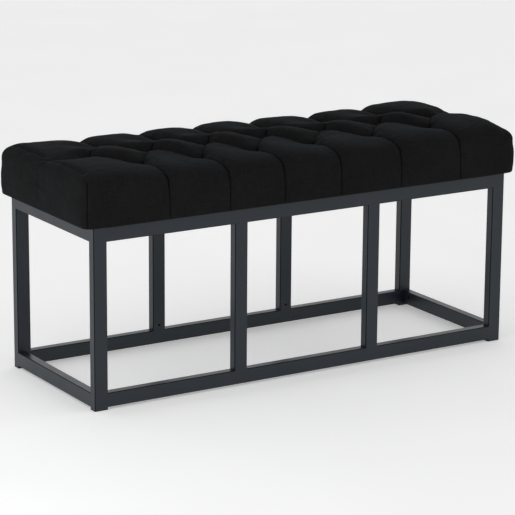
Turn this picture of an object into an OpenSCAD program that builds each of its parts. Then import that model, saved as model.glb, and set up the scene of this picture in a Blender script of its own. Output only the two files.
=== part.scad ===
// Entryway bench: a welded frame of rectangular steel tube that carries a
// diamond-tufted upholstered seat pad.
// Millimetres. The origin is on the floor under the middle of the bench,
// +Z is up, +X runs along the bench and the front faces -Y.

/* [Frame] */
// Length of the frame over its corner posts
frame_l = 1004; // [960:2:1080]
// Depth of the frame over its posts
frame_d = 360; // [350:2:400]
// Height of the frame's top face above the floor
frame_h = 375; // [330:1:440]
// Distance from the middle of the bench to each middle post's centre line
mid_post_x = 162.33; // [140:0.01:175]
// Height of the bottom rails' underside above the floor
rail_lift = 5; // [4:0.5:20]

/* [Tube] */
// Wide side of the rectangular tube
tube_w = 30; // [28:1:34]
// Narrow side of the rectangular tube
tube_t = 20; // [18:1:22]
// Wall thickness of the tube
tube_wall = 1.5; // [1.2:0.1:1.8]
// Outside corner radius of the tube
tube_r = 2; // [2:0.1:3]
// Diameter of the coating vent holes in the inward faces
vent_d = 5; // [3:0.5:7]

/* [Feet] */
// Thickness of each glide's sole under its post
sole_h = 3; // [2:0.5:4]
// Depth that each glide's plug reaches into its post
plug_h = 16; // [12:1:20]

/* [Seat] */
// Length of the seat pad
seat_l = 1050; // [1040:2:1110]
// Depth of the seat pad
seat_d = 380; // [376:2:420]
// Height of the seat pad from the frame's top face to its crown
seat_h = 117; // [105:1:130]
// Corner radius of the seat pad in plan
seat_corner_r = 18; // [16:1:30]
// Radius along the pad's top edges
seat_top_r = 32; // [20:1:40]
// Radius along the pad's bottom edges
seat_low_r = 8; // [5:0.5:12]
// Thickness of the cover fabric
cover_t = 1.5; // [1:0.1:2]
// Thickness of the plywood base
board_t = 15; // [12:1:18]
// Height of the seat foam above the plywood
foam_h = 56.5; // [45:0.5:60]
// Depth of each tuft below the pad's crown
tuft_drop = 37; // [25:1:40]
// Radius of each tuft's hollow at the crown
tuft_r = 42; // [30:1:45]

/* [Fasteners] */
// Distance from the middle of the bench to the outer seat lugs
lug_x = 400; // [380:5:430]
// Length of each seat lug along the rail
lug_l = 40; // [30:1:50]
// Width of each seat lug across the frame
lug_w = 25; // [22:1:28]
// Thickness of each seat lug
lug_t = 3; // [2.5:0.5:4]

/* [Hidden] */
$fn = 48;

// Frame lines
post_x = frame_l / 2 - tube_w / 2;
post_y = frame_d / 2 - tube_t / 2;
end_x = frame_l / 2 - tube_t / 2;
low_z = rail_lift + tube_w / 2;
high_z = frame_h - tube_w / 2;
mid_z0 = rail_lift + tube_w;
mid_h = frame_h - 2 * tube_w - rail_lift;
in_w = tube_w - 2 * tube_wall;
in_t = tube_t - 2 * tube_wall;
inner_y = frame_d / 2 - tube_t;
inner_x = frame_l / 2 - tube_t;
vent_z = mid_z0 + 11;
vent_y = inner_y - 23;

// Seat levels
board_z = frame_h + cover_t;
foam_z = board_z + board_t;
foam_top = foam_z + foam_h;
seat_top = frame_h + seat_h;
tuft_z = seat_top - tuft_drop;
board_l = seat_l - 20;
board_d = seat_d - 20;
foam_r = 14;

// Tuft lines: the pleats that run over the front edge, and between them the
// middle row, each as a position along a pad 1050 long, left to right
pleats = [for (p = [-334, -194, -64, 74, 225, 377]) p * seat_l / 1050];
middles = [for (p = [-416, -272, -137, 5, 153, 296, 436]) p * seat_l / 1050];
tuft_y = 73;
tufts = concat([for (x = pleats) [x, -tuft_y]],
               [for (x = middles) [x, 4]],
               [for (x = pleats) [x, tuft_y]]);

// Seat screws
screw_y = inner_y - lug_w / 2;
lug_top = frame_h - 1;
lug_z = lug_top - lug_t;
washer_t = 1.6;
screw_r = 2.7;
screw_l = 20;
screw_z = lug_z - washer_t;
nut_top = foam_z;
screw_at = [for (x = [-lug_x, 0, lug_x]) for (s = [-1, 1]) [x, s * screw_y]];

// Cover margin and dust cover
margin_x = 460;
margin_y = 140;
sheet_l = 2 * inner_x - 6;
sheet_d = 2 * inner_y - 4;
sheet_t = 1;
wire = 0.8;
crown = 10;
leg = 7;

// ---- shared shapes ----

// Rectangle w by h with corner radius r, centred
module rounded(w, h, r) {
    square([w - 2 * r, h], center = true);
    square([w, h - 2 * r], center = true);
    for (x = [-1, 1]) for (y = [-1, 1])
        translate([x * (w / 2 - r), y * (h / 2 - r)]) circle(r = r);
}

// Wall section of a rectangular tube, w by h outside
module tube_section(w, h) {
    difference() {
        rounded(w, h, tube_r);
        rounded(w - 2 * tube_wall, h - 2 * tube_wall, tube_r - tube_wall);
    }
}

// Rail that runs along X, centred on the origin
module rail_x(l) {
    rotate([90, 0, 90]) linear_extrude(l, center = true)
        tube_section(tube_t, tube_w);
}

// Rail that runs along Y, centred on the origin
module rail_y(l) {
    rotate([90, 0, 0]) linear_extrude(l, center = true)
        tube_section(tube_t, tube_w);
}

// Corner post on its glide, in the quadrant given by the signs sx and sy
module corner_post(sx, sy) {
    color("#3a4046") translate([sx * post_x, sy * post_y, sole_h])
        linear_extrude(frame_h - sole_h) tube_section(tube_w, tube_t);
}

// Middle post between the rails, with a vent hole in its inward face
module middle_post(sx, sy) {
    color("#3a4046") difference() {
        translate([sx * mid_post_x, sy * post_y, mid_z0])
            linear_extrude(mid_h) tube_section(tube_w, tube_t);
        translate([sx * mid_post_x, sy * inner_y, vent_z])
            rotate([90, 0, 0])
                cylinder(h = 2 * tube_wall + 2, d = vent_d, center = true);
    }
}

// Long rail between the corner posts
module long_rail(sy, z) {
    color("#3a4046") translate([0, sy * post_y, z])
        rail_x(frame_l - 2 * tube_w);
}

// End rail between the front and rear posts; vents asks for the two holes
// in its inward face
module end_rail(sx, z, vents) {
    color("#3a4046") difference() {
        translate([sx * end_x, 0, z]) rail_y(frame_d - 2 * tube_t);
        if (vents)
            for (y = [-vent_y, vent_y])
                translate([sx * inner_x, y, z + 3]) rotate([0, 90, 0])
                    cylinder(h = 2 * tube_wall + 2, d = vent_d, center = true);
    }
}

// Glide: a sole of the tube's outline and a hollow plug with three ribs that
// press against the tube's inner wall
module glide(sx, sy) {
    color("#17181a") translate([sx * post_x, sy * post_y, 0]) {
        difference() {
            union() {
                linear_extrude(sole_h) rounded(tube_w, tube_t, tube_r);
                translate([0, 0, sole_h]) linear_extrude(plug_h)
                    rounded(in_w - 1.6, in_t - 1.6, 1.4);
                for (k = [1 : 3])
                    translate([0, 0, sole_h + k * plug_h / 4 - 0.5])
                        linear_extrude(1) rounded(in_w, in_t, 1);
            }
            translate([0, 0, sole_h + 1]) linear_extrude(plug_h)
                rounded(in_w - 5, in_t - 5, 1);
        }
    }
}

// Profile of the pad, inset by g on every side: width w, from the frame's
// top face up to the crown
module pad_profile(w, g) {
    z0 = frame_h + g;
    z1 = seat_top - g;
    hw = w / 2 - g;
    rt = seat_top_r - g;
    rb = seat_low_r - g;
    translate([-hw, z0 + rb]) square([2 * hw, z1 - rt - z0 - rb]);
    translate([-hw + rt, z1 - rt - 1]) square([2 * (hw - rt), rt + 1]);
    translate([-hw + rb, z0]) square([2 * (hw - rb), rb + 1]);
    for (s = [-1, 1]) {
        translate([s * (hw - rt), z1 - rt]) circle(r = rt, $fn = 96);
        translate([s * (hw - rb), z0 + rb]) circle(r = rb);
    }
}

// Solid pad inset by g, without its tufts
module pad(g) {
    intersection() {
        translate([0, 0, frame_h - 1]) linear_extrude(seat_h + 2)
            rounded(seat_l - 2 * g, seat_d - 2 * g, seat_corner_r - g);
        rotate([90, 0, 0]) linear_extrude(seat_d + 2, center = true)
            pad_profile(seat_l, g);
        rotate([90, 0, 90]) linear_extrude(seat_l + 2, center = true)
            pad_profile(seat_d, g);
    }
}

// Cone hollows of the tufts, grown by g
module dips(g) {
    r0 = 4 + 0.38 * g;
    slope = (tuft_r - 4) / tuft_drop;
    h = tuft_drop + g + 2;
    for (t = tufts) translate([t[0], t[1], tuft_z - g])
        cylinder(h = h, r1 = r0, r2 = r0 + h * slope);
}

// Upright cylinders of radius r at every tuft, from z0 to z1
module at_tufts(r, z0, z1, fn = 24) {
    for (t = tufts) translate([t[0], t[1], z0])
        cylinder(h = z1 - z0, r = r, $fn = fn);
}

// Upright cylinders of radius r at every seat screw, from z0 to z1
module at_screws(r, z0, z1) {
    for (p = screw_at) translate([p[0], p[1], z0])
        cylinder(h = z1 - z0, r = r);
}

// One staple with its crown below z and its legs up; turn swings the crown.
// grow widens the wire, for the slots that the legs need
module staple(x, y, z, turn, grow = 0) {
    w = wire + grow;
    translate([x, y, z]) rotate([0, 0, turn]) {
        if (grow == 0)
            translate([-crown / 2, -w / 2, -wire]) cube([crown, w, wire]);
        for (s = [-1, 1])
            translate([s * (crown - wire) / 2 - w / 2, -w / 2, 0])
                cube([w, w, leg]);
    }
}

// Staples of the cover's margin: their crowns are pressed into the fabric
module margin_staples(grow = 0) {
    z = frame_h + wire;
    for (x = [-430 : 86 : 430]) for (s = [-1, 1])
        staple(x, s * (margin_y + 6), z, 0, grow);
    for (y = [-105 : 70 : 105]) for (s = [-1, 1])
        staple(s * (margin_x + 7), y, z, 90, grow);
}

// Beds in the cover's margin for the crowns of its staples
module margin_beds() {
    w = wire + 0.1;
    for (x = [-430 : 86 : 430]) for (s = [-1, 1])
        translate([x, s * (margin_y + 6), frame_h])
            cube([crown + 0.1, w, 2 * wire], center = true);
    for (y = [-105 : 70 : 105]) for (s = [-1, 1])
        translate([s * (margin_x + 7), y, frame_h])
            cube([w, crown + 0.1, 2 * wire], center = true);
}

// Staples of the dust cover
module sheet_staples(grow = 0) {
    z = frame_h - sheet_t;
    for (x = [-451 : 82 : 451]) for (s = [-1, 1])
        staple(x, s * (margin_y + 12), z, 0, grow);
    for (y = [-120 : 80 : 120]) for (s = [-1, 1])
        staple(s * (margin_x + 14), y, z, 90, grow);
}

// ---- the pieces ----

module post_front_left() { corner_post(-1, -1); }
module post_front_mid_left() { middle_post(-1, -1); }
module post_front_mid_right() { middle_post(1, -1); }
module post_front_right() { corner_post(1, -1); }
module post_rear_left() { corner_post(-1, 1); }
module post_rear_mid_left() { middle_post(-1, 1); }
module post_rear_mid_right() { middle_post(1, 1); }
module post_rear_right() { corner_post(1, 1); }

module rail_bottom_front() { long_rail(-1, low_z); }
module rail_bottom_rear() { long_rail(1, low_z); }
module rail_bottom_left() { end_rail(-1, low_z, true); }
module rail_bottom_right() { end_rail(1, low_z, true); }
module rail_top_front() { long_rail(-1, high_z); }
module rail_top_rear() { long_rail(1, high_z); }
module rail_top_left() { end_rail(-1, high_z, false); }
module rail_top_right() { end_rail(1, high_z, false); }

// Six flat lugs on the inward faces of the long top rails
module seat_tabs() {
    color("#3a4046") difference() {
        for (p = screw_at)
            translate([p[0], p[1], lug_z + lug_t / 2])
                cube([lug_l, lug_w, lug_t], center = true);
        at_screws(3.3, lug_z - 1, lug_top + 1);
    }
}

module glide_front_left() { glide(-1, -1); }
module glide_front_right() { glide(1, -1); }
module glide_rear_left() { glide(-1, 1); }
module glide_rear_right() { glide(1, 1); }

// Plywood base with its tuft holes, tee-nut holes and staple slots
module seat_board() {
    color("#b98f5a") difference() {
        translate([0, 0, board_z]) linear_extrude(board_t)
            rounded(board_l, board_d, foam_r);
        at_tufts(2, board_z - 1, foam_z + 1);
        at_screws(4.15, board_z - 1, foam_z + 1);
        margin_staples(0.1);
        sheet_staples(0.1);
    }
}

// Tee nuts: a round flange on top of the board and a barrel in it
module tee_nuts() {
    color("#b8bcc0") difference() {
        union() {
            at_screws(9, nut_top, nut_top + 1.4);
            at_screws(4, nut_top - 11, nut_top + 0.5);
        }
        at_screws(3, nut_top - 12, nut_top + 2);
    }
}

// Pan-head screws with a hexagon socket
module seat_screws() {
    color("#8d9296") difference() {
        union() {
            at_screws(5.5, screw_z - 3.3, screw_z);
            at_screws(screw_r, screw_z - 1, screw_z + screw_l);
        }
        for (p = screw_at) translate([p[0], p[1], screw_z - 4])
            cylinder(h = 2.7, r = 2.3, $fn = 6);
    }
}

module screw_washers() {
    color("#a9adb1") difference() {
        at_screws(7, screw_z, lug_z);
        at_screws(3.1, screw_z - 1, lug_z + 1);
    }
}

// Seat foam with the twines' channels and pockets for the tee nuts' flanges
module foam_core() {
    color("#e9dfae") difference() {
        translate([0, 0, foam_z]) linear_extrude(foam_h)
            rounded(board_l, board_d, foam_r);
        at_tufts(3, foam_z - 1, foam_top + 1);
        at_screws(9.3, foam_z - 1, foam_z + 1.7);
        at_screws(3, foam_z, foam_z + 4);
    }
}

// Wadding between the foam and the cover, down past the board's edges
module wadding() {
    color("#f2f2ee") difference() {
        pad(cover_t);
        dips(cover_t);
        translate([0, 0, board_z - 1]) linear_extrude(foam_top - board_z + 1)
            rounded(board_l, board_d, foam_r);
        at_tufts(3, foam_top - 1, tuft_z + 1);
    }
}

// Fabric cover with its margin turned in under the board
module seat_cover() {
    color("#202225") difference() {
        pad(0);
        dips(0);
        difference() {
            pad(cover_t);
            dips(cover_t);
        }
        translate([0, 0, frame_h])
            cube([2 * margin_x, 2 * margin_y, 4 * cover_t], center = true);
        at_screws(3.5, frame_h - 1, board_z + 1);
        margin_beds();
        margin_staples(0.1);
        sheet_staples(0.1);
    }
}

// Twines from the anchors up to the cover at the bottom of each tuft
module tuft_twines() {
    color("#d8d2c0")
        at_tufts(1, board_z - 1.4, tuft_z - cover_t, 16);
}

module tuft_anchors() {
    color("#2a2c2f") difference() {
        at_tufts(9, board_z - 1.4, board_z, 48);
        at_tufts(1.3, board_z - 2, board_z + 1, 16);
    }
}

module cover_staples() {
    color("#b4b7ba") margin_staples();
}

// Black sheet that closes the underside inside the frame
module dust_cover() {
    color("#1b1c1e") difference() {
        translate([0, 0, frame_h - sheet_t]) linear_extrude(sheet_t)
            rounded(sheet_l, sheet_d, 6);
        at_screws(3.5, frame_h - 3, frame_h + 1);
        sheet_staples(0.1);
    }
}

module dust_cover_staples() {
    color("#b4b7ba") sheet_staples();
}

post_front_left();
post_front_mid_left();
post_front_mid_right();
post_front_right();
post_rear_left();
post_rear_mid_left();
post_rear_mid_right();
post_rear_right();
rail_bottom_front();
rail_bottom_rear();
rail_bottom_left();
rail_bottom_right();
rail_top_front();
rail_top_rear();
rail_top_left();
rail_top_right();
seat_tabs();
glide_front_left();
glide_front_right();
glide_rear_left();
glide_rear_right();
seat_board();
tee_nuts();
seat_screws();
screw_washers();
foam_core();
wadding();
seat_cover();
tuft_twines();
tuft_anchors();
cover_staples();
dust_cover();
dust_cover_staples();
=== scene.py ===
import math
import bmesh
import bpy
import numpy as np
from mathutils import Matrix, Vector


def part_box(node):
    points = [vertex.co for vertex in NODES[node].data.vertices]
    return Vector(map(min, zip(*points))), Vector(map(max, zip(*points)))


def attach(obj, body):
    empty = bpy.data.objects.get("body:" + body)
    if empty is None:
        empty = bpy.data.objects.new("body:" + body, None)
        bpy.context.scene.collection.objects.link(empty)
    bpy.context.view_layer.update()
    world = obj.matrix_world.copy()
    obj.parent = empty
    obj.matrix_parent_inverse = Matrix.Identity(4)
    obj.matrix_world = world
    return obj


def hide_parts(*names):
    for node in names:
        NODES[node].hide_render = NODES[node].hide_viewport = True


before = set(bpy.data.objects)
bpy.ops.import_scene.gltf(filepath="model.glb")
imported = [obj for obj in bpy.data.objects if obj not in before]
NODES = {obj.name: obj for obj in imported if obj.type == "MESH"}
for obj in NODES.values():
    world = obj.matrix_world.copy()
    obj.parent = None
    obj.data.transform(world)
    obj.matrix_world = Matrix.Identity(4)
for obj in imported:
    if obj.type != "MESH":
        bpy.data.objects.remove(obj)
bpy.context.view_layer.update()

MM = 0.001

# ---------------------------------------------------------------- camera ----
YAW, PITCH, ROLL = 0.5564, 0.2538, -0.0073
fwd = Vector((math.sin(YAW) * math.cos(PITCH), math.cos(YAW) * math.cos(PITCH), -math.sin(PITCH)))
right = Vector((math.cos(YAW), -math.sin(YAW), 0.0))
down = fwd.cross(right)
r2 = right * math.cos(ROLL) + down * math.sin(ROLL)
d2 = down * math.cos(ROLL) - right * math.sin(ROLL)
cam_data = bpy.data.cameras.new("camera")
cam_data.sensor_fit = "HORIZONTAL"
cam_data.sensor_width = 36.0
cam_data.lens = 2468.7338 * 36.0 / 515.0
cam_data.clip_start = 0.1
cam_data.clip_end = 200.0
cam = bpy.data.objects.new("camera", cam_data)
bpy.context.scene.collection.objects.link(cam)
rot = Matrix((r2, -d2, -fwd)).transposed()
cam.matrix_world = Matrix.Translation((-2.6986665, -4.31937208, 1.53284695)) @ rot.to_4x4()
bpy.context.scene.camera = cam


# ------------------------------------------------------------- materials ----
class Tree:
    """A material's node tree with short calls for the nodes used here."""

    def __init__(self, name):
        self.mat = bpy.data.materials.new(name)
        self.mat.use_nodes = True
        self.nt = self.mat.node_tree
        self.nt.nodes.clear()
        self.out = self.nt.nodes.new("ShaderNodeOutputMaterial")
        self.bsdf = self.nt.nodes.new("ShaderNodeBsdfPrincipled")
        self.nt.links.new(self.bsdf.outputs[0], self.out.inputs[0])
        self.obj = self.nt.nodes.new("ShaderNodeTexCoord").outputs["Object"]

    def put(self, socket, value):
        if isinstance(value, bpy.types.NodeSocket):
            self.nt.links.new(value, socket)
        else:
            socket.default_value = value

    def math(self, op, a, b=0.0, c=0.0, clamp=False):
        n = self.nt.nodes.new("ShaderNodeMath")
        n.operation = op
        n.use_clamp = clamp
        for k, v in enumerate((a, b, c)):
            self.put(n.inputs[k], v)
        return n.outputs[0]

    def scale(self, vec, s):
        n = self.nt.nodes.new("ShaderNodeMapping")
        self.put(n.inputs["Vector"], vec)
        n.inputs["Scale"].default_value = s
        return n.outputs[0]

    def split(self, vec):
        n = self.nt.nodes.new("ShaderNodeSeparateXYZ")
        self.put(n.inputs[0], vec)
        return n.outputs

    def noise(self, vec, scale, detail=3.0, rough=0.5):
        n = self.nt.nodes.new("ShaderNodeTexNoise")
        self.put(n.inputs["Vector"], vec)
        n.inputs["Scale"].default_value = scale
        n.inputs["Detail"].default_value = detail
        n.inputs["Roughness"].default_value = rough
        return n.outputs["Fac"]

    def cells(self, vec, scale, feature="F1"):
        n = self.nt.nodes.new("ShaderNodeTexVoronoi")
        n.feature = feature
        self.put(n.inputs["Vector"], vec)
        n.inputs["Scale"].default_value = scale
        return n.outputs["Distance"]

    def span(self, x, a, b, c, d):
        n = self.nt.nodes.new("ShaderNodeMapRange")
        n.clamp = True
        for k, v in zip(("Value", "From Min", "From Max", "To Min", "To Max"), (x, a, b, c, d)):
            self.put(n.inputs[k], v)
        return n.outputs[0]

    def ramp(self, x, stops):
        n = self.nt.nodes.new("ShaderNodeValToRGB")
        r = n.color_ramp
        while len(r.elements) < len(stops):
            r.elements.new(0.5)
        for e, (p, col) in zip(r.elements, stops):
            e.position = p
            e.color = (*col, 1.0)
        self.put(n.inputs[0], x)
        return n.outputs[0]

    def mix(self, f, a, b):
        n = self.nt.nodes.new("ShaderNodeMix")
        n.data_type = "RGBA"
        self.put(n.inputs[0], f)
        for k, v in ((6, a), (7, b)):
            self.put(n.inputs[k], v if isinstance(v, bpy.types.NodeSocket) else (*v, 1.0))
        return n.outputs[2]

    def bump(self, height, strength, distance, normal=None):
        n = self.nt.nodes.new("ShaderNodeBump")
        n.inputs["Strength"].default_value = strength
        n.inputs["Distance"].default_value = distance
        self.put(n.inputs["Height"], height)
        if normal is not None:
            self.put(n.inputs["Normal"], normal)
        return n.outputs[0]

    def set(self, **kw):
        for k, v in kw.items():
            self.put(self.bsdf.inputs[k.replace("_", " ")], v)
        return self.mat


def seat_fabric():
    """Tight woven charcoal upholstery: plain weave of uneven yarns, slubs, a faint blue sheen."""
    t = Tree("seat_fabric_woven")
    uvn = t.nt.nodes.new("ShaderNodeUVMap")
    uvn.uv_map = "sheet"
    uv = uvn.outputs[0]
    pitch = 0.00085
    wob = t.noise(uv, 60.0, 2.0)
    u, v, _ = t.split(uv)
    u = t.math("MULTIPLY_ADD", u, 1.0 / pitch, t.math("MULTIPLY", wob, 1.6))
    v = t.math("MULTIPLY_ADD", v, 1.0 / pitch, t.math("MULTIPLY", wob, 1.1))
    su = t.math("SINE", t.math("MULTIPLY", u, math.pi))
    sv = t.math("SINE", t.math("MULTIPLY", v, math.pi))
    lump = t.math("MULTIPLY", t.math("ABSOLUTE", su), t.math("ABSOLUTE", sv))
    over = t.math("MULTIPLY_ADD", t.math("MULTIPLY", su, sv), 0.5, 0.5, clamp=True)
    warp = t.noise(t.scale(uv, (22.0, 1100.0, 1.0)), 1.0, 2.0)
    weft = t.noise(t.scale(uv, (1100.0, 26.0, 1.0)), 1.0, 2.0)
    yarn = t.math("ADD", t.math("MULTIPLY", warp, over), t.math("MULTIPLY", weft, t.math("SUBTRACT", 1.0, over)))
    slub = t.noise(t.scale(uv, (90.0, 620.0, 1.0)), 1.0, 1.0)
    patch = t.noise(t.obj, 9.0, 3.0)
    tone = t.math("ADD", t.math("MULTIPLY", yarn, 0.62), t.math("MULTIPLY", slub, 0.22))
    tone = t.math("ADD", tone, t.math("MULTIPLY", patch, 0.16))
    colour = t.ramp(tone, [(0.30, (0.0064, 0.0064, 0.0065)), (0.50, (0.0127, 0.0127, 0.0129)),
                           (0.70, (0.0226, 0.0227, 0.0234))])
    colour = t.mix(t.span(lump, 0.0, 0.5, 0.45, 0.0), colour, (0.0021, 0.0021, 0.0022))
    # painted shade along the pinched folds and seams: the second map holds the distance to the line and the shade's
    # strength
    fold = t.nt.nodes.new("ShaderNodeUVMap")
    fold.uv_map = "folds"
    away, strength, _ = t.split(fold.outputs[0])
    away = t.math("MULTIPLY", away, 1.0 / 0.00125)
    fold_shade = t.math("POWER", 2.718, t.math("MULTIPLY", t.math("MULTIPLY", away, away), -1.0))
    fold_shade = t.math("MULTIPLY", fold_shade, strength)
    # painted shade: the colour falls to near black along each fold and seam line, standing in for the shade inside the
    # slit
    colour = t.mix(t.math("MULTIPLY", fold_shade, 0.92), colour, (0.0008, 0.0010, 0.0016))
    height = t.math("ADD", t.math("MULTIPLY", lump, 0.8), t.math("MULTIPLY", yarn, 0.5))
    rumple = t.noise(t.obj, 42.0, 4.0, 0.55)
    n1 = t.bump(rumple, 0.22, 0.0030)
    n2 = t.bump(height, 0.55, 0.00035, n1)
    return t.set(Base_Color=colour, Roughness=t.span(yarn, 0.3, 0.7, 0.98, 0.84), Normal=n2,
                 Specular_IOR_Level=0.035, Sheen_Weight=0.024, Sheen_Roughness=0.35,
                 Sheen_Tint=(0.50, 0.78, 1.0, 1.0))


def frame_steel():
    """Slate powder coat on steel tube: fine orange peel, faint mottling, edges rubbed a little brighter, and painted
    shade along the rounded arrises.
    """
    t = Tree("frame_steel_powder_coat")
    peel = t.noise(t.obj, 620.0, 2.0)
    grain = t.noise(t.obj, 2600.0, 2.0)
    mottle = t.noise(t.obj, 14.0, 5.0, 0.6)
    rub = t.noise(t.scale(t.obj, (6.0, 6.0, 1.6)), 9.0, 6.0, 0.65)
    tone = t.math("ADD", t.math("MULTIPLY", mottle, 0.6), t.math("MULTIPLY", grain, 0.4))
    colour = t.ramp(tone, [(0.30, (0.0050, 0.0105, 0.0165)), (0.52, (0.0075, 0.0140, 0.0215)),
                           (0.75, (0.0110, 0.0185, 0.0270))])
    bev = t.nt.nodes.new("ShaderNodeBevel")
    bev.samples = 4
    bev.inputs["Radius"].default_value = 0.0016
    geo = t.nt.nodes.new("ShaderNodeNewGeometry")
    dot = t.nt.nodes.new("ShaderNodeVectorMath")
    dot.operation = "DOT_PRODUCT"
    t.nt.links.new(bev.outputs[0], dot.inputs[0])
    t.nt.links.new(geo.outputs["Normal"], dot.inputs[1])
    edge = t.span(dot.outputs["Value"], 0.90, 0.995, 1.0, 0.0)
    wear = t.math("MULTIPLY", edge, t.span(rub, 0.52, 0.70, 0.0, 0.45))
    colour = t.mix(wear, colour, (0.055, 0.062, 0.070))
    # painted shade: the tubes' rounded arrises are darkened and their reflection turned down, painting dark lines along
    # every edge
    nx, ny, nz = t.split(geo.outputs["Normal"])
    flat = t.math("MAXIMUM", t.math("MAXIMUM", t.math("ABSOLUTE", nx), t.math("ABSOLUTE", ny)), t.math("ABSOLUTE", nz))
    arris_shade = t.span(flat, 0.90, 0.992, 1.0, 0.0)
    colour = t.mix(t.math("MULTIPLY", arris_shade, 0.75), colour, (0.0022, 0.0032, 0.0046))
    shine = t.math("MULTIPLY_ADD", arris_shade, -0.34, 0.42)
    rough = t.math("ADD", t.span(mottle, 0.3, 0.7, 0.30, 0.39), t.math("MULTIPLY", grain, 0.06))
    n1 = t.bump(peel, 0.10, 0.00022)
    n2 = t.bump(grain, 0.12, 0.00006, n1)
    return t.set(Base_Color=colour, Roughness=rough, Normal=n2, Specular_IOR_Level=shine)


def glide_plastic():
    t = Tree("glide_plastic_moulded")
    g = t.noise(t.obj, 900.0, 3.0)
    s = t.noise(t.scale(t.obj, (40.0, 40.0, 260.0)), 3.0, 4.0)
    colour = t.ramp(t.math("ADD", t.math("MULTIPLY", g, 0.5), t.math("MULTIPLY", s, 0.5)),
                    [(0.3, (0.006, 0.006, 0.0065)), (0.6, (0.011, 0.011, 0.012)), (0.8, (0.021, 0.021, 0.022))])
    return t.set(Base_Color=colour, Roughness=t.span(s, 0.3, 0.7, 0.42, 0.62),
                 Normal=t.bump(g, 0.3, 0.0001), Specular_IOR_Level=0.4)


def zinc_steel():
    t = Tree("zinc_steel_plated")
    f = t.cells(t.obj, 700.0)
    n = t.noise(t.obj, 260.0, 4.0)
    colour = t.ramp(t.math("ADD", t.math("MULTIPLY", f, 0.4), t.math("MULTIPLY", n, 0.6)),
                    [(0.25, (0.36, 0.37, 0.40)), (0.5, (0.50, 0.51, 0.53)), (0.8, (0.62, 0.62, 0.60))])
    return t.set(Base_Color=colour, Metallic=1.0, Roughness=t.span(n, 0.3, 0.7, 0.28, 0.46),
                 Normal=t.bump(n, 0.15, 0.00008))


def plywood():
    t = Tree("plywood_birch")
    grain = t.noise(t.scale(t.obj, (5.0, 90.0, 90.0)), 2.4, 6.0, 0.6)
    fleck = t.noise(t.scale(t.obj, (60.0, 900.0, 900.0)), 1.0, 2.0)
    _, _, z = t.split(t.obj)
    ply = t.math("GREATER_THAN", t.math("FRACT", t.math("MULTIPLY", z, 1.0 / 0.003)), 0.5)
    colour = t.ramp(t.math("ADD", t.math("MULTIPLY", grain, 0.75), t.math("MULTIPLY", fleck, 0.25)),
                    [(0.3, (0.36, 0.22, 0.11)), (0.55, (0.52, 0.36, 0.20)), (0.8, (0.63, 0.47, 0.29))])
    colour = t.mix(t.math("MULTIPLY", ply, 0.22), colour, (0.24, 0.14, 0.07))
    return t.set(Base_Color=colour, Roughness=t.span(grain, 0.3, 0.7, 0.55, 0.72),
                 Normal=t.bump(grain, 0.25, 0.0002), Specular_IOR_Level=0.3)


def seat_foam():
    t = Tree("seat_foam_cells")
    c = t.cells(t.obj, 900.0)
    n = t.noise(t.obj, 30.0, 4.0)
    colour = t.ramp(t.math("ADD", t.math("MULTIPLY", c, 0.5), t.math("MULTIPLY", n, 0.5)),
                    [(0.2, (0.34, 0.35, 0.33)), (0.5, (0.52, 0.53, 0.49)), (0.8, (0.62, 0.63, 0.60))])
    return t.set(Base_Color=colour, Roughness=t.span(n, 0.3, 0.7, 0.88, 0.97),
                 Normal=t.bump(c, 0.6, 0.0006), Specular_IOR_Level=0.1)


def wadding_fibre():
    t = Tree("wadding_fibre_batt")
    f = t.noise(t.scale(t.obj, (400.0, 60.0, 200.0)), 2.0, 6.0, 0.7)
    g = t.noise(t.scale(t.obj, (60.0, 380.0, 200.0)), 2.0, 6.0, 0.7)
    s = t.math("MAXIMUM", f, g)
    colour = t.ramp(s, [(0.35, (0.55, 0.55, 0.53)), (0.6, (0.74, 0.74, 0.72)), (0.8, (0.85, 0.85, 0.84))])
    return t.set(Base_Color=colour, Roughness=t.span(s, 0.3, 0.7, 0.90, 0.98),
                 Normal=t.bump(s, 0.5, 0.0012), Sheen_Weight=0.3)


def twine():
    t = Tree("twine_twisted")
    x, y, z = t.split(t.obj)
    a = t.math("ADD", t.math("MULTIPLY", z, 2400.0), t.math("MULTIPLY", t.math("ADD", x, y), 3000.0))
    s = t.math("MULTIPLY_ADD", t.math("SINE", a), 0.5, 0.5)
    n = t.noise(t.obj, 1500.0, 3.0)
    colour = t.ramp(t.math("ADD", t.math("MULTIPLY", s, 0.6), t.math("MULTIPLY", n, 0.4)),
                    [(0.2, (0.010, 0.010, 0.011)), (0.5, (0.020, 0.020, 0.022)), (0.85, (0.038, 0.038, 0.041))])
    return t.set(Base_Color=colour, Roughness=t.span(n, 0.3, 0.7, 0.75, 0.9), Normal=t.bump(s, 0.5, 0.0004))


def anchor_plastic():
    t = Tree("anchor_plastic_nylon")
    g = t.noise(t.obj, 700.0, 3.0)
    colour = t.ramp(g, [(0.3, (0.46, 0.45, 0.41)), (0.6, (0.60, 0.59, 0.54)), (0.8, (0.68, 0.67, 0.62))])
    return t.set(Base_Color=colour, Roughness=t.span(g, 0.3, 0.7, 0.4, 0.55), Normal=t.bump(g, 0.2, 0.0001))


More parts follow.
